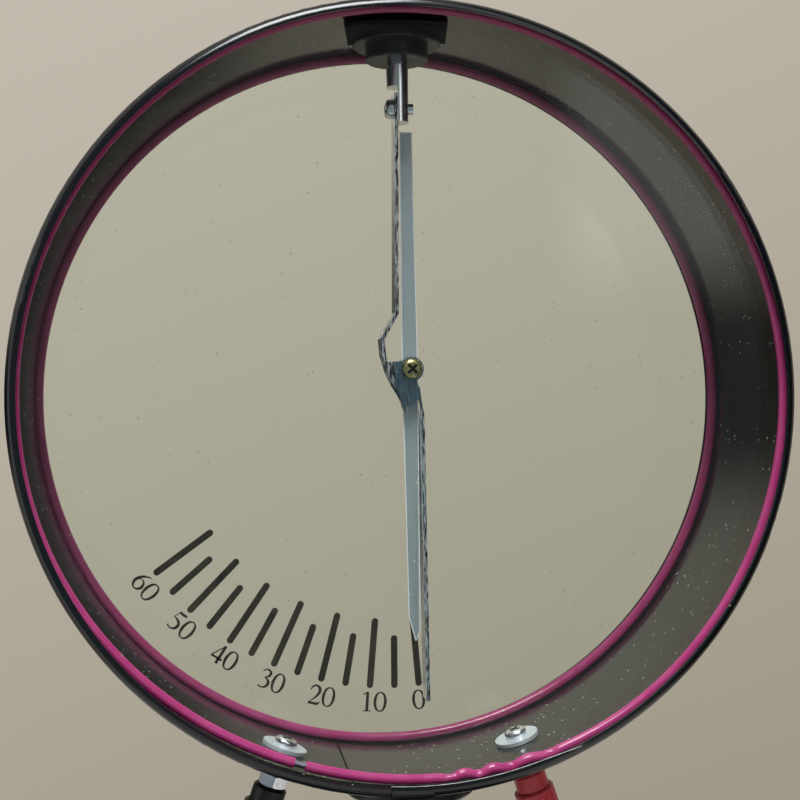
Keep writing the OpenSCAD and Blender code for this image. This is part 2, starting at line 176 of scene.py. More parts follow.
class Surface(Graph):
    """The graph of a new material, with its Principled shader."""

    def __init__(self, name: str) -> None:
        """Make the material."""
        self.material = bpy.data.materials.new(name)
        self.material.use_nodes = True
        super().__init__(self.material.node_tree)
        self.shader = self.tree.nodes["Principled BSDF"]

    def set(self, **inputs: object) -> None:
        """Feed inputs of the shader, by name with _ for a space."""
        for name, value in inputs.items():
            self.feed(self.shader.inputs[name.replace("_", " ")], value)

    def bump(self, height: Socket, strength: float, depth: float) -> None:
        """Feed the shader's normal from a height of 0 to 1, for a relief of a depth in metres."""
        node = self.add("Bump", None, Strength=strength, Distance=depth, Height=height)
        self.set(Normal=node.outputs[0])


class Effects:
    """Node groups that several finishes share, each built once."""

    def __init__(self) -> None:
        """Build every shared effect, with its inputs' default values."""
        self.mottle = self._shared("Mottle", self._mottle, Scale=40.0, Detail=4.0)
        self.specks = self._shared("Dust specks", self._specks, Scale=700.0, Size=0.16, Cover=0.5)
        self.scratches = self._shared("Fine scratches", self._scratches, Stretch=EVEN, Scale=3000.0)
        self.wear = self._shared("Edge wear", self._wear, Amount=0.5, Scale=400.0)

    @staticmethod
    def _shared(name: str, mask: Callable[[Graph, Mapping[str, Socket]], Socket], **inputs: object) -> Tree:
        """Make a group that turns its inputs into a mask.

        Args:
            name: The group's name.
            mask: Adds the nodes, given the group's graph and its inputs, and returns the mask.
            **inputs: The inputs with their default values; a tuple makes a vector.

        Returns:
            The group's tree.
        """
        tree = bpy.data.node_groups.new(name, "ShaderNodeTree")
        for label, value in inputs.items():
            kind = "NodeSocketVector" if isinstance(value, tuple) else "NodeSocketFloat"
            tree.interface.new_socket(name=label, in_out="INPUT", socket_type=kind).default_value = value
        tree.interface.new_socket(name="Mask", in_out="OUTPUT", socket_type="NodeSocketFloat")
        given = tree.nodes.new("NodeGroupInput").outputs
        sink = tree.nodes.new("NodeGroupOutput")
        tree.links.new(mask(Graph(tree), given), sink.inputs["Mask"])
        return tree

    @staticmethod
    def _mottle(graph: Graph, given: Mapping[str, Socket]) -> Socket:
        """Cloudy variation from 0 to 1, as in hand-sprayed paint or tarnish."""
        return graph.ramp(graph.noise(given["Scale"], given["Detail"]), 0.3, 0.7)

    @staticmethod
    def _specks(graph: Graph, given: Mapping[str, Socket]) -> Socket:
        """Dust specks: small scattered dots, thicker in cloudy patches."""
        cells = graph.add("TexVoronoi", None, Vector=graph.place(), Scale=given["Scale"])
        chosen = graph.add("SeparateColor", None, Color=cells.outputs["Color"])
        size = graph.times(given["Size"], chosen.outputs[1])
        near = graph.math("LESS_THAN", cells.outputs["Distance"], size)
        density = graph.times(graph.ramp(graph.noise(28.0, 3.0), 0.3, 0.65), given["Cover"])
        return graph.times(near, graph.math("LESS_THAN", chosen.outputs[0], density))

    @staticmethod
    def _scratches(graph: Graph, given: Mapping[str, Socket]) -> Socket:
        """Fine rolling or polishing lines, stretched along one axis."""
        stretched = {"in0": graph.place(), "in1": given["Stretch"]}
        drawn = graph.add("VectorMath", {"operation": "MULTIPLY"}, **stretched).outputs[0]
        return graph.ramp(graph.noise(given["Scale"], 3.0, drawn), 0.3, 0.7)

    @staticmethod
    def _wear(graph: Graph, given: Mapping[str, Socket]) -> Socket:
        """Worn edges: where the form is sharp and the noise agrees."""
        edge = graph.ramp(graph.add("NewGeometry").outputs["Pointiness"], 0.52, 0.6)
        grain = graph.ramp(graph.noise(given["Scale"], 5.0), 0.45, 0.6)
        return graph.times(graph.times(edge, grain), given["Amount"])


@dataclass(frozen=True)
class Paint:
    """Sprayed paint on metal, with orange peel, dust and worn edges."""

    name: str
    colour: Colour
    shade: Colour
    roughness: float = 0.3
    peel: float = 0.25
    dust: float = 0.3
    wear: float = 0.0
    dust_scale: float = 650.0
    cloudy: float = 0.06
    dust_colour: Colour = srgb(168, 166, 158)
    bare: Colour = srgb(150, 152, 155)

    def build(self, effects: Effects) -> Material:
        """Make the material."""
        paint = Surface(self.name)
        cloud = paint.mask(effects.mottle, Scale=35.0)
        specks = paint.mask(effects.specks, Scale=self.dust_scale, Size=0.26, Cover=self.dust)
        base = paint.mix(specks, paint.mix(cloud, self.colour, self.shade), self.dust_colour)
        rough = paint.math("MULTIPLY_ADD", cloud, self.cloudy, self.roughness)
        rough = paint.math("MAXIMUM", rough, paint.times(specks, 0.8))
        if self.wear:
            worn = paint.mask(effects.wear, Amount=self.wear)
            base = paint.mix(worn, base, self.bare)
            paint.set(Metallic=worn)
        paint.set(Base_Color=base, Roughness=rough)
        paint.bump(paint.noise(900.0, 1.0), self.peel, 0.06 * MM)
        return paint.material


@dataclass(frozen=True)
class Metal:
    """Bare or plated metal with fine lines, tarnish and dust."""

    name: str
    colour: Colour
    tarnish: Colour
    roughness: float = 0.2
    stretch: tuple[float, float, float] = (1.0, 1.0, 0.03)
    line_scale: float = 2500.0
    lines: float = 0.3
    tarnished: float = 0.5
    tarnish_scale: float = 160.0
    metallic: float = 1.0
    dust: float = 0.15
    dust_colour: Colour = srgb(215, 215, 210)

    def build(self, effects: Effects) -> Material:
        """Make the material."""
        metal = Surface(self.name)
        cloud = metal.mask(effects.mottle, Scale=self.tarnish_scale, Detail=6.0)
        drawn = metal.mask(effects.scratches, Stretch=self.stretch, Scale=self.line_scale)
        specks = metal.mask(effects.specks, Scale=900.0, Size=0.35, Cover=self.dust)
        base = metal.mix(metal.times(cloud, self.tarnished), self.colour, self.tarnish)
        rough = metal.math("MULTIPLY_ADD", drawn, 0.12, self.roughness)
        rough = metal.math("MULTIPLY_ADD", cloud, 0.1, rough)
        metal.set(Base_Color=metal.mix(specks, base, self.dust_colour), Roughness=rough, Metallic=self.metallic)
        metal.bump(drawn, self.lines, 0.02 * MM)
        return metal.material


@dataclass(frozen=True)
class StripSteel:
    """Sheared strip steel: streaks on its cut edges, blued where it was heated for the bends.

    The blued zone is a range of heights, to the right of plate_from.
    """

    name: str
    bright: Colour
    dark: Colour
    blued: Colour
    faded: Colour
    blued_from: float
    blued_to: float
    plate_from: float
    streak_scale: float = 2600.0

    def build(self, effects: Effects) -> Material:
        """Make the material."""
        steel = Surface(self.name)
        fine = steel.mask(effects.scratches, Stretch=(1.0, 0.5, 0.12), Scale=self.streak_scale)
        coarse = steel.mask(effects.scratches, Stretch=(1.0, 0.25, 0.16), Scale=1500.0)
        streaks = steel.math("MULTIPLY_ADD", steel.math("SUBTRACT", fine, 0.5), 1.5, coarse)
        facing = steel.math("ABSOLUTE", steel.axes(steel.add("NewGeometry").outputs["Normal"])[1])
        edges = steel.math("MULTIPLY_ADD", facing, 0.8, 0.2)
        base = steel.mix(steel.times(steel.clamp(streaks), edges), self.bright, self.dark)
        across, _, height = steel.axes(steel.place())
        zone = steel.ramp(height, self.blued_from - 2 * MM, self.blued_from + 4 * MM)
        zone = steel.times(zone, steel.ramp(height, self.blued_to + 2 * MM, self.blued_to - 1 * MM))
        plate = steel.ramp(across, self.plate_from - 0.5 * MM, self.plate_from + 0.5 * MM)
        heated = steel.times(steel.times(zone, plate), 0.93)
        steel.set(
            Base_Color=steel.mix(heated, base, steel.mix(coarse, self.blued, self.faded)),
            Roughness=steel.math("MULTIPLY_ADD", coarse, 0.15, 0.2),
            Metallic=0.92,
        )
        steel.bump(fine, 0.5, 0.03 * MM)
        return steel.material


@dataclass(frozen=True)
class Plastic:
    """Moulded plastic with a fine grain and handling marks."""

    name: str
    colour: Colour
    rubbed: Colour
    roughness: float = 0.34
    grain: float = 0.2
    dust: float = 0.1
    glow: float = 0.0
    specular: float = 0.5
    dust_colour: Colour = srgb(150, 148, 142)

    def build(self, effects: Effects) -> Material:
        """Make the material."""
        plastic = Surface(self.name)
        cloud = plastic.mask(effects.mottle, Scale=120.0)
        worn = plastic.mask(effects.wear, Amount=0.6, Scale=700.0)
        specks = plastic.mask(effects.specks, Scale=800.0, Size=0.3, Cover=self.dust)
        base = plastic.mix(plastic.times(cloud, 0.5), self.colour, self.rubbed)
        base = plastic.mix(worn, base, self.rubbed)
        plastic.set(
            Base_Color=plastic.mix(specks, base, self.dust_colour),
            Roughness=plastic.math("MULTIPLY_ADD", cloud, 0.12, self.roughness),
            Specular_IOR_Level=self.specular,
        )
        plastic.bump(plastic.noise(2200.0, 2.0), self.grain, 0.03 * MM)
        if self.glow:
            reach = {"Subsurface_Radius": (1.0, 0.3, 0.5), "Subsurface_Scale": 1.2 * MM}
            plastic.set(Subsurface_Weight=self.glow, **reach)
        return plastic.material


@dataclass(frozen=True)
class Glass:
    """Clear window glass with a few specks of dust."""

    name: str
    tint: Colour
    dust_colour: Colour = srgb(205, 205, 198)

    def build(self, effects: Effects) -> Material:
        """Make the material. Lamps shine straight through it, so that the drum isn't dark inside."""
        glass = Surface(self.name)
        specks = glass.mask(effects.specks, Scale=420.0, Size=0.12, Cover=0.25)
        glass.set(Base_Color=glass.mix(specks, self.tint, self.dust_colour))
        glass.set(Transmission_Weight=1.0, Roughness=0.0, IOR=1.3)
        path = glass.add("LightPath").outputs
        straight = glass.math("MAXIMUM", path["Is Shadow Ray"], path["Is Diffuse Ray"])
        clear = glass.add("BsdfTransparent", None, Color=(0.94, 0.96, 0.94))
        mixed = glass.add("MixShader", None, in0=straight, in1=glass.shader.outputs[0], in2=clear.outputs[0])
        glass.feed(glass.tree.nodes["Material Output"].inputs["Surface"], mixed.outputs[0])
        return glass.material


@dataclass(frozen=True)
class Ink:
    """Printing ink that is a little thin in places."""

    name: str
    colour: Colour
    thin: Colour

    def build(self, effects: Effects) -> Material:
        """Make the material."""
        ink = Surface(self.name)
        cloud = ink.mask(effects.mottle, Scale=300.0, Detail=5.0)
        rough = ink.math("MULTIPLY_ADD", cloud, 0.15, 0.45)
        ink.set(Base_Color=ink.mix(cloud, self.colour, self.thin), Roughness=rough)
        return ink.material


class Finish(Enum):
    """Every finish on the object."""

    SHELL_PAINT = Paint(
        "shell black paint", srgb(10, 12, 16), srgb(15, 17, 22), roughness=0.13, peel=0.12, dust=0.03
    )
    LINING = Paint(
        "lining grey paint", srgb(36, 37, 33), srgb(46, 47, 41),
        roughness=0.11, peel=0.03, dust=0.4, dust_scale=760.0, cloudy=0.09,
    )
    CASTING = Paint("stand black paint", srgb(15, 16, 18), srgb(24, 25, 27), peel=0.55, dust=0.2, wear=0.4)
    COLUMN_PAINT = Paint("column black paint", srgb(13, 14, 16), srgb(20, 21, 23), peel=0.5, dust=0.15)
    BLACK_PLATE = Plastic(
        "black plate", srgb(1, 1, 1), srgb(4, 4, 4), roughness=0.7, grain=0.1, dust=0.0, specular=0.08
    )
    BLACK_PLASTIC = Plastic("black moulding", srgb(7, 8, 8), srgb(16, 17, 17))
    RED_PLASTIC = Plastic("red moulding", srgb(206, 48, 60), srgb(216, 86, 90), glow=0.1)
    SLEEVE = Plastic(
        "magenta sleeve", srgb(176, 54, 116), srgb(188, 78, 134), roughness=0.1, grain=0.04, dust=0.06, glow=0.25
    )
    WIRE = Metal("ring wire steel", srgb(150, 148, 160), srgb(118, 116, 126), roughness=0.32)
    RAW_EDGE = Metal(
        "raw sheet edge", srgb(236, 234, 232), srgb(160, 156, 152), roughness=0.4, stretch=EVEN,
        line_scale=1500.0, lines=0.4, tarnished=0.9, tarnish_scale=500.0, metallic=0.3,
    )
    PLATED = Metal(
        "bright plating", srgb(236, 240, 246), srgb(206, 210, 216), roughness=0.12, stretch=EVEN,
        line_scale=700.0, lines=0.06,
    )
    WASHER = Metal(
        "washer plating", srgb(226, 230, 236), srgb(202, 207, 214), roughness=0.3, stretch=EVEN,
        line_scale=1400.0, lines=0.04, tarnished=0.4, tarnish_scale=120.0, metallic=0.55,
    )
    ROD = Metal(
        "rod plating", srgb(240, 242, 246), srgb(206, 208, 214), roughness=0.05, stretch=(1.0, 1.0, 0.02),
        lines=0.1, tarnished=0.3,
    )
    STRIP = StripSteel(
        "strip steel", srgb(240, 242, 244), srgb(44, 48, 52), srgb(76, 98, 116), srgb(104, 130, 140),
        blued_from=190.5 * MM, blued_to=204.5 * MM, plate_from=-2.6 * MM,
    )
    AXLE_STEEL = Metal("axle steel", srgb(176, 182, 188), srgb(120, 126, 132))
    NEEDLE = Metal(
        "needle sheet", srgb(174, 183, 187), srgb(156, 170, 178), roughness=0.34, stretch=(1.0, 1.0, 0.015),
        line_scale=4200.0, lines=0.15, tarnished=0.6, tarnish_scale=120.0, metallic=0.6,
    )
    # Painted highlight: near-white paint on the needle's bevelled edges stands in for the light that they catch.
    NEEDLE_EDGE = Metal(
        "needle rubbed edge", srgb(255, 255, 255), srgb(240, 243, 245), roughness=0.3, stretch=(1.0, 1.0, 0.05),
        line_scale=3000.0, lines=0.1, tarnished=0.2, tarnish_scale=400.0, metallic=0.1,
    )
    BRASS = Metal(
        "bare brass", srgb(196, 186, 128), srgb(112, 104, 62), roughness=0.16, stretch=EVEN,
        line_scale=1500.0, lines=0.15,
    )
    # Painted shade: a dark paint for the faces inside driver recesses, standing in for the shade that falls
    # there.
    GRIME = Paint("painted shade in a recess", srgb(12, 11, 8), srgb(30, 27, 18), roughness=0.7, peel=0.4, dust=0.1)
    GLASS = Glass("clear glass", srgb(251, 253, 250))
    INK = Ink("printed ink", srgb(34, 27, 14), srgb(52, 43, 26))


AS_PACKED: Mapping[Finish, tuple[str, ...]] = {
    Finish.SHELL_PAINT: ("drum_shell",),
    Finish.LINING: ("spacer_band",),
    Finish.GLASS: ("front_glass", "back_glass"),
    Finish.ROD: ("electrode_rod", "top_ball"),
    Finish.STRIP: ("conductor_strip",),
    Finish.AXLE_STEEL: ("needle_axle",),
    Finish.BRASS: (
        "front_pivot_screw", "back_pivot_screw", "needle_hub",
        "left_post_stud", "left_knob_insert", "right_post_stud", "right_knob_insert",
    ),
    Finish.PLATED: (
        "strip_screw", "base_washer", "base_nut", "left_shell_nut", "left_lock_nut", "left_clamp_washer",
        "right_shell_nut", "right_end_washer", "right_clamp_washer",
    ),
    Finish.WASHER: ("left_post_washer", "right_post_washer"),
    Finish.BLACK_PLASTIC: ("outer_insulator", "left_post_collar", "left_knob"),
    Finish.RED_PLASTIC: ("right_post_collar", "right_knob"),
    Finish.COLUMN_PAINT: ("neck", "column"),
    Finish.CASTING: ("base",),
}

# Packed screws whose driver recess gets painted shade: name, direction of the head, reach of the recess from the
# axis.
RECESSES = (
    ("front_pivot_screw", (0, -1, 0), 1.75 * MM),
    ("back_pivot_screw", (0, 1, 0), 1.75 * MM),
    ("strip_screw", (-1, 0, 0), 1.65 * MM),
)


class Wardrobe:
    """The built materials, one for each finish."""

    def __init__(self) -> None:
        """Build the shared effects and then each material."""
        effects = Effects()
        self.materials = {finish: finish.value.build(effects) for finish in Finish}

    def dress(self, piece: Piece, finish: Finish) -> None:
        """Give a piece one finish all over."""
        piece.data.materials.clear()
        piece.data.materials.append(self.materials[finish])

    def touch_up(self, piece: Piece, finish: Finish, chosen: Callable[[Face], bool]) -> None:
        """Give the chosen faces of a piece a second finish."""
        piece.data.materials.append(self.materials[finish])
        last = len(piece.data.materials) - 1
        for face in piece.data.polygons:
            if chosen(face):
                face.material_index = last


@dataclass
class Shop:
    """What every sub-assembly needs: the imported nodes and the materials."""

    nodes: Mapping[str, Piece]
    wardrobe: Wardrobe
    smooth_below: float = 28.0
    head_tall: float = 2.2 * MM
    # Depths below the top of a head between which recess faces get painted shade.
    grime_from: float = 0.05 * MM
    grime_to: float = 1.9 * MM

    def finish_nodes(self, finish: Finish, *names: str) -> None:
        """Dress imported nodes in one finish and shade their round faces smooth."""
        for name in names:
            self.wardrobe.dress(self.nodes[name], finish)
            shade_smooth(self.nodes[name].data, self.smooth_below)
            LOG.info("dressed %s in %s", name, finish.value.name)

    def grime_recess(self, piece: Piece, out: Vector, reach: float) -> None:
        """Paint shade on a driver recess that reaches so far from the axis of a screw whose head looks out."""
        points = [vertex.co for vertex in piece.data.vertices]
        top = max(point.dot(out) for point in points)
        head = [point for point in points if point.dot(out) > top - self.head_tall]
        centre = sum(head, Vector()) / len(head)

        def inside(face: Face) -> bool:
            """Whether a face lies in the recess."""
            away = face.center - centre
            near = (away - out * away.dot(out)).length < reach
            return near and self.grime_from < top - face.center.dot(out) < self.grime_to

        # The recess faces get the dark painted shade.
        self.wardrobe.touch_up(piece, Finish.GRIME, inside)

    def add(self, piece: Piece, finish: Finish, body: str, slot: str, *replaced: str) -> Piece:
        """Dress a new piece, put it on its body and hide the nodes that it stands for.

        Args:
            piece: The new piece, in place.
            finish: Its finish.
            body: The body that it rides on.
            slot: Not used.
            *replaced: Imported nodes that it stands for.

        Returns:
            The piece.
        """
        self.wardrobe.dress(piece, finish)
        if replaced:
            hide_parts(*replaced)
        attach(piece, body)
        LOG.info("built %s on %s", piece.name, body)
        return piece


def middle(name: str) -> Vector:
    """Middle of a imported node's box."""
    low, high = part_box(name)
    return (low + high) / 2


def shade_smooth(mesh: bpy.types.Mesh, below: float) -> None:
    """Shade a mesh smooth across edges of a smaller angle, in degrees."""
    mesh.polygons.foreach_set("use_smooth", [True] * len(mesh.polygons))
    mesh.set_sharp_from_angle(angle=math.radians(below))


def as_object(name: str, shape: Shape, smooth_below: float = 30.0) -> Piece:
    """Turn a mesh, which is freed, into an object in the scene, smooth below an angle in degrees."""
    bmesh.ops.recalc_face_normals(shape, faces=shape.faces)
    mesh = bpy.data.meshes.new(name)
    shape.to_mesh(mesh)
    shape.free()
    shade_smooth(mesh, smooth_below)
    piece = bpy.data.objects.new(name, mesh)
    bpy.context.scene.collection.objects.link(piece)
    return piece


def merge(target: Shape, part: Shape) -> None:
    """Copy one mesh into another and free it."""
    mesh = bpy.data.meshes.new("part")
    part.to_mesh(mesh)
    part.free()
    target.from_mesh(mesh)
    bpy.data.meshes.remove(mesh)


def ring_mesh(rings: Sequence[Sequence[Vector]], closed: bool = False) -> Shape:
    """Join rings of as many points each with quads; unless closed to a loop, both ends are filled."""
    shape = bmesh.new()
    made = [[shape.verts.new(point) for point in ring] for ring in rings]
    count = len(made[0])
    for first, second in zip(made, made[1:] + (made[:1] if closed else [])):
        for i in range(count):
            j = (i + 1) % count
            shape.faces.new((first[i], first[j], second[j], second[i]))
    if not closed:
        shape.faces.new(made[0][::-1])
        shape.faces.new(made[-1])
    return shape


def plate_mesh(outline: Sequence[Point], place: Place, thick: float) -> Shape:
    """Make a flat plate; place turns two coordinates of its outline and a depth into a point."""
    return ring_mesh([[place(x, y, depth) for x, y in outline] for depth in (0.0, thick)])


def lathe_mesh(profile: Sequence[Point], foot: Vector, axis: Vector, steps: int = 72) -> Shape:
    """Turn a closed profile, of radii and distances from foot along the axis, about that axis."""
    side = axis.orthogonal().normalized()
    other = axis.cross(side)
    rings = []
    for i in range(steps):
        angle = 2 * math.pi * i / steps
        spoke = side * math.cos(angle) + other * math.sin(angle)
        rings.append([foot + spoke * radius + axis * along for radius, along in profile])
    shape = ring_mesh(rings, closed=True)
    bmesh.ops.remove_doubles(shape, verts=shape.verts, dist=1e-6)
    return shape


def block_mesh(centre: Vector, sides: Sequence[Vector]) -> Shape:
    """Make a block from its middle and its three half sides."""
    shape = bmesh.new()
    bmesh.ops.create_cube(shape, size=2.0)
    turn = Matrix(sides).transposed()
    for vertex in shape.verts:
        vertex.co = centre + turn @ vertex.co
    return shape


def carve(piece: Piece, cutter: Shape) -> None:
    """Cut a shape out of a piece."""
    tool = as_object("cutter", cutter)
    cut = piece.modifiers.new("cut", "BOOLEAN")
    cut.operation = "DIFFERENCE"
    cut.solver = "EXACT"
    cut.object = tool
    whole = piece.evaluated_get(bpy.context.evaluated_depsgraph_get())
    mesh = bpy.data.meshes.new_from_object(whole)
    piece.modifiers.clear()
    piece.data = mesh
    bpy.data.objects.remove(tool)


@dataclass
class DrumFrame:
    """Places on the drum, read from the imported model."""

    centre: Vector = field(default_factory=lambda: middle("back_glass"))

    def around(self, degrees: float, radius: float, y: float) -> Vector:
        """Point at a distance from the drum's axis, at an angle from straight down to the right."""
        angle = math.radians(degrees)
        return Vector((self.centre.x + radius * math.sin(angle), y, self.centre.z - radius * math.cos(angle)))


@dataclass
class SoftRing:
    """A retaining ring: a spring wire in a soft tube that leaves it bare for a short way.

    Angles are in degrees from straight down, positive to the right as seen from the front.
    """

    side: str
    drum: DrumFrame
    radius: float = 98.05 * MM
    tube: float = 1.3 * MM
    wall: float = 0.33 * MM
    wire: float = 0.85 * MM
    wire_reach: float = 4.0
    shift: float = 0.0
    gap_at: float = -19.0
    gap_width: float = 3.05 * MM
    sag: float = 0.0
    sag_at: float = -17.0
    sag_reach: float = 60.0
    pinches: tuple[float, ...] = ()
    pinch_reach: float = 0.95
    bulge: float = 0.0
    steps: int = 1200
    sides: int = 20
    mouth_steps: int = 6
    smooth_below: float = 50.0

    def _sag(self, degrees: float) -> float:
        """How far the ring hangs inward at an angle."""
        away = (degrees - self.sag_at + 180) % 360 - 180
        if abs(away) >= self.sag_reach:
            return 0.0
        return self.sag * math.cos(math.radians(away * 90 / self.sag_reach)) ** 2

    def _swell(self, degrees: float) -> float:
        """From -1 in a pinch to 1 between two pinches, and 0 far from them."""

        def near(places: Sequence[float], reach: float) -> float:
            """How near the angle is to any of some places."""
            return sum(math.exp(-(((degrees - at) / reach) ** 2)) for at in places)

        between = [(a + b) / 2 for a, b in zip(self.pinches, self.pinches[1:])]
        return near(between, 1.6 * self.pinch_reach) - near(self.pinches, self.pinch_reach)

    def _section(self, degrees: float, y: float, size: float, wavy: bool) -> list[Vector]:
        """One ring of points round the middle line."""
        swell = self._swell(degrees)
        centre = self.radius + math.sin(math.radians(degrees)) * self.shift - self._sag(degrees)
        centre -= self.bulge * max(swell, -0.4)
        swell = swell if wavy else 0.0
        points = []
        for i in range(self.sides):
            turn = 2 * math.pi * i / self.sides
            lobe = 1 + 0.12 * swell + 0.16 * abs(min(swell, 0.0)) * math.cos(2 * turn + degrees)
            radial = centre + size * lobe * math.cos(turn)
            points.append(self.drum.around(degrees, radial, y + size * lobe * math.sin(turn)))
        return points

    def _run(self, name: str, start: float, end: float, size: float, bore: float = 0.0) -> Piece:
        """A tube along the ring between two angles; without a bore it is a wire."""
        y = middle(f"{self.side}_retaining_wire").y
        turns = [start + (end - start) * i / self.steps for i in range(self.steps + 1)]
        rings = [self._section(turn, y, size, bore > 0) for turn in turns]
        if bore:
            deep = self.mouth_steps
            mouths = [self._section(turns[k], y, bore, False) for k in (deep, 0, -1, -1 - deep)]
            rings = [*mouths[:2], *rings, *mouths[2:]]
        return as_object(name, ring_mesh(rings), self.smooth_below)

    def build(self, shop: Shop) -> None:
        """Make the wire and the tube and put them on the case."""
        half = math.degrees(self.gap_width / 2 / self.radius)
        ends = (self.gap_at + half, self.gap_at + 360 - half)
        sleeve = self._run(f"{self.side}_sleeve_tube", *ends, self.tube, self.tube - self.wall)
        ends = (self.gap_at - self.wire_reach, self.gap_at + self.wire_reach)
        wire = self._run(f"{self.side}_ring_wire", *ends, self.wire)
        shop.add(sleeve, Finish.SLEEVE, CASE, "magenta_sleeve", f"{self.side}_wire_sleeve")
        shop.add(wire, Finish.WIRE, CASE, "steel_wire", f"{self.side}_retaining_wire")


# Book-face digits: strokes of points (x, y, width) in heights of a digit, with x from its middle.
DIGIT_STROKES: Mapping[str, tuple[Stroke, ...]] = {
    "0": (
        ((0.0, 0.98, 0.05), (-0.19, 0.86, 0.085), (-0.27, 0.5, 0.115), (-0.19, 0.14, 0.085), (0.0, 0.02, 0.05),
         (0.19, 0.14, 0.085), (0.27, 0.5, 0.115), (0.19, 0.86, 0.085), (0.0, 0.98, 0.05)),
    ),
    "1": (
        ((-0.2, 0.86, 0.03), (-0.1, 0.9, 0.05), (0.03, 0.98, 0.05)),
        ((0.03, 0.99, 0.11), (0.03, 0.5, 0.115), (0.03, 0.02, 0.115)),
        ((-0.17, 0.02, 0.035), (0.03, 0.02, 0.045), (0.23, 0.02, 0.035)),
    ),
    "2": (
        ((-0.27, 0.7, 0.03), (-0.21, 0.86, 0.06), (-0.04, 0.96, 0.075), (0.15, 0.88, 0.11), (0.2, 0.7, 0.125),
         (0.11, 0.47, 0.09), (-0.08, 0.24, 0.05), (-0.27, 0.05, 0.03)),
        ((-0.28, 0.045, 0.085), (0.0, 0.045, 0.095), (0.2, 0.05, 0.095), (0.31, 0.2, 0.02)),
    ),
    "3": (
        ((-0.24, 0.8, 0.03), (-0.14, 0.93, 0.055), (0.02, 0.96, 0.07), (0.16, 0.85, 0.11), (0.14, 0.68, 0.09),
         (-0.06, 0.54, 0.03)),
        ((-0.06, 0.54, 0.03), (0.14, 0.47, 0.085), (0.22, 0.28, 0.12), (0.12, 0.09, 0.085), (-0.08, 0.02, 0.05),
         (-0.24, 0.07, 0.075)),
    ),
    "4": (
        ((0.12, 0.99, 0.04), (-0.08, 0.66, 0.045), (-0.29, 0.3, 0.045)),
        ((-0.31, 0.28, 0.085), (0.0, 0.28, 0.085), (0.31, 0.28, 0.085)),
        ((0.12, 1.0, 0.11), (0.12, 0.5, 0.115), (0.12, 0.0, 0.115)),
    ),
    "5": (
        ((-0.16, 0.93, 0.1), (0.05, 0.93, 0.105), (0.25, 0.96, 0.1)),
        ((-0.15, 0.95, 0.035), (-0.2, 0.76, 0.035), (-0.25, 0.58, 0.035)),
        ((-0.25, 0.58, 0.035), (-0.02, 0.56, 0.08), (0.17, 0.42, 0.115), (0.18, 0.2, 0.11), (0.02, 0.04, 0.065),
         (-0.15, 0.03, 0.05), (-0.26, 0.08, 0.075)),
    ),
    "6": (
        ((0.27, 0.98, 0.02), (0.08, 0.9, 0.055), (-0.14, 0.68, 0.1), (-0.25, 0.36, 0.12), (-0.17, 0.11, 0.09),
         (0.02, 0.02, 0.05), (0.19, 0.12, 0.09), (0.25, 0.31, 0.115), (0.16, 0.52, 0.08), (0.0, 0.58, 0.045),
         (-0.22, 0.46, 0.02)),
    ),
}


def neighbours(points: Sequence, i: int, closed: bool) -> tuple:
    """The points before and after one; an open run's end is its own neighbour."""
    before = points[i - 1] if i else points[-2 if closed else 0]
    after = points[i + 1] if i + 1 < len(points) else points[1 if closed else -1]
    return before, after


def flowing(points: Stroke, per_span: int = 6) -> list[tuple[float, float, float]]:
    """Points of a smooth curve through the given ones, widths included."""
    closed = points[0] == points[-1]
    result = []
    for i in range(len(points) - 1):
        before = neighbours(points, i, closed)[0]
        after = neighbours(points, i + 1, closed)[1]
        for k in range(per_span):
            t = k / per_span
            result.append(tuple(
                0.5 * (2 * b + (c - a) * t + (2 * a - 5 * b + 4 * c - d) * t**2 + (3 * b - a - 3 * c + d) * t**3)
                for a, b, c, d in zip(before, points[i], points[i + 1], after)
            ))
    result.append(points[-1])
    return result


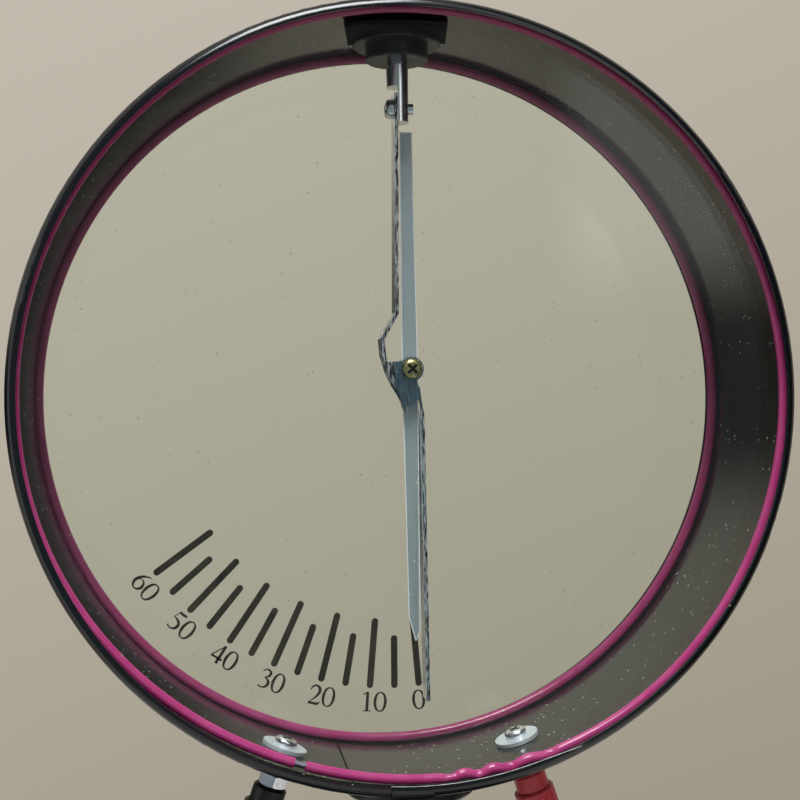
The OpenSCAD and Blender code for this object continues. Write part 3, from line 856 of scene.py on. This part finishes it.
@dataclass
class Scale:
    """Printed scale on the inner face of the back glass."""

    drum: DrumFrame
    outer: float = 82.4 * MM
    long_inner: float = 62.6 * MM
    short_inner: float = 67.4 * MM
    line_width: float = 1.85 * MM
    ink_thick: float = 0.06 * MM
    ink_gap: float = 0.01 * MM
    end_steps: int = 10
    zero_at: float = 4.3
    per_unit: float = 0.985
    top_value: int = 60
    step: int = 5
    numeral_height: float = 5.5 * MM
    numeral_radius: float = 86.2 * MM
    numeral_shift: float = 0.9
    zero_shift: float = -0.3
    numeral_weight: float = 1.3
    advance: float = 0.7

    def _place(self, value: int, shift: float = 0.0) -> Place:
        """Map of plate coordinates at a value: x to the right, y from the centre, depth to the front."""
        degrees = self.zero_at + shift - self.per_unit * value
        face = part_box("back_glass")[0].y - self.ink_gap
        sideways = Vector((math.cos(math.radians(degrees)), 0, math.sin(math.radians(degrees))))
        return lambda x, y, depth: self.drum.around(degrees, y, face - depth) + sideways * x

    def _line(self, value: int) -> Shape:
        """One line of the scale, with round ends."""
        inner = self.long_inner if value % (2 * self.step) == 0 else self.short_inner
        half = self.line_width / 2
        arc = [math.radians(180 * i / self.end_steps) for i in range(self.end_steps + 1)]
        far = [(half * math.cos(a), self.outer - half + half * math.sin(a)) for a in arc]
        near = [(-half * math.cos(a), inner + half - half * math.sin(a)) for a in arc]
        return plate_mesh(far + near, self._place(value), self.ink_thick)

    def _numeral(self, value: int) -> Shape:
        """One number, its top towards the centre."""
        shape = bmesh.new()
        place = self._place(value, self.numeral_shift if value else self.zero_shift)
        text = str(value)
        for i, digit in enumerate(text):
            shift = (i - (len(text) - 1) / 2) * self.advance
            for stroke in DIGIT_STROKES[digit]:
                merge(shape, self._stroke(stroke, shift, place))
        return shape

    def _stroke(self, stroke: Stroke, shift: float, place: Place) -> Shape:
        """One stroke of a digit as a thin plate."""
        line = flowing(stroke)
        closed = stroke[0] == stroke[-1]
        rings = []
        for i, (x, y, width) in enumerate(line[:-1] if closed else line):
            before, after = neighbours(line, i, closed)
            run = Vector((after[0] - before[0], after[1] - before[1])).normalized()
            side = Vector((-run.y, run.x)) * width * self.numeral_weight / 2
            left, right = (
                ((x + shift + sign * side.x) * self.numeral_height,
                 self.numeral_radius - (y - 0.5 + sign * side.y) * self.numeral_height)
                for sign in (1, -1)
            )
            thick = self.ink_thick
            rings.append([place(*left, 0.0), place(*right, 0.0), place(*right, thick), place(*left, thick)])
        return ring_mesh(rings, closed)

    def build(self, shop: Shop) -> None:
        """Print the lines and the numbers."""
        for name, draw, step in (
            ("scale_lines", self._line, self.step),
            ("scale_numbers", self._numeral, 2 * self.step),
        ):
            shape = bmesh.new()
            for value in range(0, self.top_value + 1, step):
                merge(shape, draw(value))
            shop.add(as_object(name, shape), Finish.INK, CASE, "black_plastic")


@dataclass
class Plug:
    """Insulating plug under the top of the drum: a plate bent to the lining, a tier and a boss."""

    drum: DrumFrame
    half_wide: float = 13.2 * MM
    front: float = -17.0 * MM
    rear: float = 1.6 * MM
    yaw: float = 9.0
    plate_thick: float = 1.0 * MM
    lining: float = 97.34 * MM
    tier_radius: float = 11.85 * MM
    tier_low: float = 94.3 * MM
    tier_tall: float = 2.25 * MM
    boss_radius: float = 8.4 * MM
    spigot_radius: float = 6.9 * MM
    clearance: float = 0.03 * MM
    edge: float = 0.35 * MM
    steps: int = 32

    def _plate(self) -> Shape:
        """The plate, bent to the lining and turned a little about the rod."""
        outer = self.lining - self.clearance
        inner = outer - self.plate_thick
        turn = Matrix.Rotation(-math.radians(self.yaw), 3, "Z")
        rings = []
        for i in range(self.steps + 1):
            across = self.half_wide * (2 * i / self.steps - 1)
            ring = []
            for radius, y in ((outer, self.front), (outer, self.rear), (inner, self.rear), (inner, self.front)):
                corner = turn @ Vector((across, y, 0))
                corner.z = math.sqrt(radius**2 - corner.x**2)
                ring.append(corner + Vector((self.drum.centre.x, 0, self.drum.centre.z)))
            rings.append(ring)
        return ring_mesh(rings)

    def _turned(self) -> Shape:
        """Tier, boss and the spigot that goes up through the shell."""
        low, high = (corner.z - self.drum.centre.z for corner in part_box("insulating_plug"))
        rod_low, rod_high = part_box("electrode_rod")
        rod = (rod_high.x - rod_low.x) / 2 + self.clearance
        tier, boss, edge = self.tier_radius, self.boss_radius, self.edge
        root = self.tier_low + self.tier_tall
        profile = (
            (rod, low), (boss - edge, low), (boss, low + edge), (boss, self.tier_low),
            (tier - edge, self.tier_low), (tier, self.tier_low + edge), (tier, root),
            (self.spigot_radius, root), (self.spigot_radius, high), (rod, high),
        )
        return lathe_mesh(profile, Vector((self.drum.centre.x, 0, self.drum.centre.z)), Vector((0, 0, 1)))

    def build(self, shop: Shop) -> None:
        """Make the plug."""
        moulding = as_object("plug_moulding", self._turned())
        shop.add(moulding, Finish.BLACK_PLASTIC, CASE, "black_plastic", "insulating_plug")
        shop.add(as_object("plug_plate", self._plate()), Finish.BLACK_PLATE, CASE, "black_plastic")


@dataclass
class LapLip:
    """Lip of the overlapping sheet, which stands inside the shell's own lip at the bottom."""

    drum: DrumFrame
    inner: float = 96.45 * MM
    outer: float = 97.4 * MM
    thick: float = 0.4 * MM
    proud: float = 0.02 * MM
    least_width: float = 0.05 * MM
    start: float = -5.44
    level_to: float = 16.0
    end: float = 24.0
    steps: int = 60
    edge_facing: float = 0.7

    def _inward(self, face: Face) -> bool:
        """Whether a face looks at the drum's axis."""
        inward = self.drum.centre - face.center
        inward.y = 0.0
        return face.normal.dot(inward.normalized()) > self.edge_facing

    def build(self, shop: Shop) -> None:
        """Make the lip, painted but for its raw inner edge."""
        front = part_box("drum_shell")[0].y
        low, high = front - self.proud, front + self.thick
        rings = []
        for i in range(self.steps + 1):
            degrees = self.start + (self.end - self.start) * i / self.steps
            fade = max(0.0, (degrees - self.level_to) / (self.end - self.level_to)) ** 2
            inner = self.inner + (self.outer - self.inner - self.least_width) * fade
            corners = ((inner, low), (self.outer, low), (self.outer, high), (inner, high))
            rings.append([self.drum.around(degrees, radius, y) for radius, y in corners])
        lip = shop.add(as_object("lap_lip", ring_mesh(rings)), Finish.SHELL_PAINT, CASE, "black_paint")
        shop.wardrobe.touch_up(lip, Finish.RAW_EDGE, self._inward)


@dataclass
class Needle:
    """The needle, with bevelled edges painted near white as a painted highlight."""

    edge: float = 0.25 * MM
    edge_rise: float = 0.08 * MM
    waist: float = 4.4 * MM
    waist_to: float = 2.0 * MM
    top_width: float = 3.3 * MM
    low_width: float = 3.1 * MM
    left_bevel: float = 66.5 * MM
    right_bevel: float = 70.3 * MM
    tip: Point = (0.3 * MM, 0.15 * MM)

    def build(self, shop: Shop) -> None:
        """Make the needle from its outline about its pivot, x to the right and z up."""
        low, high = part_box("needle")
        pivot = middle("needle_axle")
        up, down = high.z - pivot.z, pivot.z - low.z
        waist, flat, rise = self.waist / 2, self.waist_to, self.edge_rise
        tip, half_tip = self.tip
        outline = (
            (-self.top_width / 2, up), (-waist, flat), (-waist, -flat), (-self.low_width / 2, -self.left_bevel),
            (tip - half_tip, -down), (tip + half_tip, -down),
            (self.low_width / 2, -self.right_bevel), (waist, -flat), (waist, flat), (self.top_width / 2, up),
        )

        def place(x: float, z: float, depth: float) -> Vector:
            """One point of the plate between the bevels."""
            return Vector((pivot.x + x, low.y + rise + depth, pivot.z + z))

        shape = plate_mesh(outline, place, high.y - low.y - 2 * rise)
        bmesh.ops.recalc_face_normals(shape, faces=shape.faces)
        wide = [face for face in shape.faces if abs(face.normal.y) > 0.9]
        bmesh.ops.inset_region(shape, faces=wide, thickness=self.edge, depth=rise, use_even_offset=True)
        needle = as_object("needle_blade", shape, 8)
        shop.add(needle, Finish.NEEDLE, POINTER, "needle_metal", "needle")
        # The bevelled edges get the near-white painted highlight.
        shop.wardrobe.touch_up(needle, Finish.NEEDLE_EDGE, lambda face: abs(face.normal.y) <= 0.99)


@dataclass
class PanScrew:
    """The pan head screw of one binding post, inside the drum."""

    side: str
    washer_thick: float = 1.0 * MM
    seat_gap: float = 0.02 * MM
    head_radius: float = 3.05 * MM
    head_tall: float = 1.9 * MM
    crown_share: float = 0.6
    crown_steps: int = 6
    shank_radius: float = 2.0 * MM
    shank_point: float = 0.4 * MM
    recess_long: float = 1.75 * MM
    recess_wide: float = 0.42 * MM
    recess_deep: float = 1.1 * MM
    # How far past the recess arms the painted shade reaches.
    grime_margin: float = 0.1 * MM

    def _profile(self, end: float, seat: float) -> list[Point]:
        """Radius and distance along the axis, from the shank's end to the top of the head."""
        top = seat - self.head_tall
        round_part = self.head_tall * self.crown_share
        crown = []
        for i in range(self.crown_steps + 1):
            turn = math.radians(90 * i / self.crown_steps)
            fall = round_part * (1 - math.cos(turn))
            crown.append((self.head_radius - fall, top + round_part * (1 - math.sin(turn))))
        return [
            (0.0, end), (self.shank_radius * 0.8, end), (self.shank_radius, end - self.shank_point),
            (self.shank_radius, seat), (self.head_radius, seat), *crown, (0.0, top),
        ]

    def build(self, shop: Shop) -> None:
        """Make the screw, with its driver recess and its shank."""
        centre = middle("back_glass")
        washer = middle(f"{self.side}_post_washer")
        centre.y = washer.y
        axis = (washer - centre).normalized()
        seat = (washer - centre).length - self.washer_thick / 2 - self.seat_gap
        low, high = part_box(f"{self.side}_post_screw")
        end = max((Vector((x, washer.y, low.z)) - centre).dot(axis) for x in (low.x, high.x))
        end -= self.shank_radius * abs(axis.x)
        screw = as_object(f"{self.side}_pan_screw", lathe_mesh(self._profile(end, seat), centre, axis))
        along = Vector((0, 1, 0))
        turned = (along + axis.cross(along)).normalized()
        for arm in (turned, turned.cross(axis)):
            sides = (arm * self.recess_long, arm.cross(axis) * self.recess_wide, axis * self.recess_deep)
            carve(screw, block_mesh(centre + axis * (seat - self.head_tall), sides))
        shade_smooth(screw.data, 30.0)
        shop.add(screw, Finish.PLATED, CASE, "plated_metal", f"{self.side}_post_screw")
        # Painted shade in the driver recess.
        shop.grime_recess(screw, -axis, self.recess_long + self.grime_margin)


@dataclass
class Studio:
    """Camera, a lamp, a pale floor and the room around."""

    drum: DrumFrame
    place: tuple[float, float, float] = (-54.234 * MM, -337.249 * MM, -1.686 * MM)
    yaw: float = 0.157518
    pitch: float = 0.0028192
    roll: float = -0.0184106
    focal_pixels: float = 1265.65
    picture_width: float = 800.0
    sensor: float = 36.0
    wall_low: Colour = srgb(150, 143, 127)
    wall_high: Colour = srgb(200, 193, 179)
    front_low: Colour = srgb(118, 134, 140)
    front_high: Colour = srgb(112, 115, 117)
    window_light: Colour = (1.1, 1.12, 1.15)
    corner_dark: Colour = (0.02, 0.018, 0.017)
    light_low: Colour = srgb(120, 114, 106)
    light_high: Colour = srgb(226, 232, 240)
    windows: tuple[Point, ...] = (
        (-180.0, 0.02), (-102.0, 0.02), (-96.0, 0.9), (-70.0, 0.9), (-64.0, 0.3), (40.0, 0.3), (46.0, 0.02),
        (88.0, 0.02), (92.0, 0.95), (108.0, 0.95), (114.0, 0.02), (180.0, 0.02),
    )
    floor_radius: float = 0.24
    lamp_at: tuple[float, float, float] = (-0.1, -0.5, 1.2)
    lamp_size: float = 0.5
    lamp_power: float = 14.0
    lamp_colour: Colour = (0.96, 0.98, 1.0)

    def camera(self) -> None:
        """Set the camera where the photographer stood."""
        data = bpy.data.cameras.new("camera")
        data.sensor_width = self.sensor
        data.lens = self.sensor * self.focal_pixels / self.picture_width
        data.clip_start = 0.01
        ahead, rise = math.cos(self.pitch), math.sin(self.pitch)
        forward = Vector((math.sin(self.yaw) * ahead, math.cos(self.yaw) * ahead, rise))
        level = forward.cross(Vector((0, 0, 1))).normalized()
        upright = level.cross(forward)
        right = level * math.cos(self.roll) + upright * math.sin(self.roll)
        up = upright * math.cos(self.roll) - level * math.sin(self.roll)
        turn = Matrix((right, up, -forward)).transposed()
        camera = bpy.data.objects.new("camera", data)
        at = Vector((self.place[0], self.place[1], self.drum.centre.z + self.place[2]))
        camera.matrix_world = Matrix.Translation(at) @ turn.to_4x4()
        bpy.context.scene.collection.objects.link(camera)
        bpy.context.scene.camera = camera

    def lamp(self) -> None:
        """Add a square lamp that looks at the drum's middle."""
        data = bpy.data.lights.new("key lamp", "AREA")
        data.size = self.lamp_size
        data.energy = self.lamp_power
        data.color = self.lamp_colour
        lamp = bpy.data.objects.new("key lamp", data)
        lamp.location = self.lamp_at
        look = self.drum.centre - Vector(self.lamp_at)
        lamp.rotation_euler = look.to_track_quat("-Z", "Y").to_euler()
        bpy.context.scene.collection.objects.link(lamp)

    def floor(self) -> None:
        """Add the pale floor, which fades out before the picture's lower edge."""
        shape = bmesh.new()
        bmesh.ops.create_circle(shape, cap_ends=True, segments=96, radius=self.floor_radius)
        floor = as_object("floor", shape)
        pale = Surface("pale floor")
        away = pale.add("VectorMath", {"operation": "LENGTH"}, in0=pale.place()).outputs["Value"]
        fade = pale.ramp(away, self.floor_radius, self.floor_radius * 0.7)
        pale.set(Base_Color=srgb(214, 208, 198), Roughness=0.9, Alpha=fade)
        floor.data.materials.append(pale.material)

    def _side_windows(self, graph: Graph, share: Socket) -> Socket:
        """The bright and dark bands round the room, from the share of a full turn."""
        sides = graph.add("ValToRGB", None, Fac=share)
        ramp = sides.color_ramp
        for _ in range(len(self.windows) - len(ramp.elements)):
            ramp.elements.new(0.5)
        for element, (degrees, level) in zip(ramp.elements, self.windows):
            element.position = 0.5 + degrees / 360
            element.color = (level, level, level * 1.02, 1.0)
        return sides.outputs[0]

    def room(self) -> None:
        """Set the room: a warm wall behind, windows and dark corners at the sides, and plain soft light.

        The surroundings depend on the direction alone, and what is seen straight on or through the
        glass is the wall behind.
        """
        world = bpy.data.worlds.new("room")
        bpy.context.scene.world = world
        world.use_nodes = True
        graph = Graph(world.node_tree)
        world.node_tree.nodes.clear()
        x, y, z = graph.axes(graph.add("TexCoord").outputs["Generated"])
        turn = graph.math("ARCTAN2", x, graph.times(y, -1.0))
        share = graph.math("MULTIPLY_ADD", turn, 0.5 / math.pi, 0.5)
        slope = graph.math("MULTIPLY_ADD", x, -0.35, graph.math("MULTIPLY_ADD", z, 0.9, 0.555))
        wall = graph.mix(graph.clamp(slope), self.wall_low, self.wall_high)
        front = graph.mix(graph.ramp(z, -0.25, 0.25), self.front_low, self.front_high)
        window = graph.times(graph.ramp(turn, 0.27, 0.32), graph.ramp(turn, 0.62, 0.56))
        window = graph.times(window, graph.ramp(z, 0.06, 0.14))
        bright = graph.mix(window, front, self.window_light)
        inner = graph.times(graph.ramp(turn, -1.2, -1.1), graph.ramp(turn, 0.72, 0.64))
        around = graph.mix(inner, self._side_windows(graph, share), bright)
        level = graph.ramp(graph.math("ABSOLUTE", z), 0.07, 0.25)
        level = graph.math("MAXIMUM", level, graph.ramp(x, 0.2, 0.45))
        far = graph.mix(level, self.corner_dark, wall)
        mirrored = graph.mix(graph.ramp(y, 0.1, -0.1), far, around)
        path = graph.add("LightPath").outputs
        reflected = graph.math("MINIMUM", path["Glossy Depth"], 1.0)
        colour = graph.mix(reflected, wall, mirrored)
        seen = graph.add("Background", None, Color=colour, Strength=1.0)
        above = graph.mix(graph.ramp(z, -0.6, 0.8), self.light_low, self.light_high)
        light = graph.add("Background", None, Color=above, Strength=0.6)
        shown = graph.math("MAXIMUM", path["Is Camera Ray"], path["Is Glossy Ray"])
        shown = graph.math("MAXIMUM", shown, path["Is Transmission Ray"])
        mixed = graph.add("MixShader", None, in0=shown, in1=light.outputs[0], in2=seen.outputs[0])
        graph.feed(graph.add("OutputWorld").inputs["Surface"], mixed.outputs[0])

    def build(self) -> None:
        """Build the studio."""
        self.camera()
        self.room()
        self.floor()
        self.lamp()
        bpy.context.scene.view_settings.view_transform = "Standard"


def main() -> None:
    """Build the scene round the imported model."""
    logging.basicConfig(level=logging.INFO, format="%(message)s")
    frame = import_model()
    shop = Shop(frame["nodes"], Wardrobe())
    drum = DrumFrame()
    for finish, names in AS_PACKED.items():
        shop.finish_nodes(finish, *names)
    # Painted shade in the driver recesses of the imported screws.
    for name, out, reach in RECESSES:
        shop.grime_recess(shop.nodes[name], Vector(out), reach)
    Plug(drum).build(shop)
    SoftRing("front", drum, sag=2.25 * MM, pinches=(4.0, 8.3, 13.0, 19.5), bulge=0.5 * MM).build(shop)
    back = {"radius": 97.55 * MM, "tube": 1.4 * MM, "shift": -0.3 * MM, "gap_at": 178.0}
    SoftRing("back", drum, sag=0.3 * MM, sag_at=0.0, **back).build(shop)
    LapLip(drum).build(shop)
    Scale(drum).build(shop)
    Needle().build(shop)
    PanScrew("left").build(shop)
    PanScrew("right").build(shop)
    Studio(drum).build()


if __name__ == "__main__":
    main()
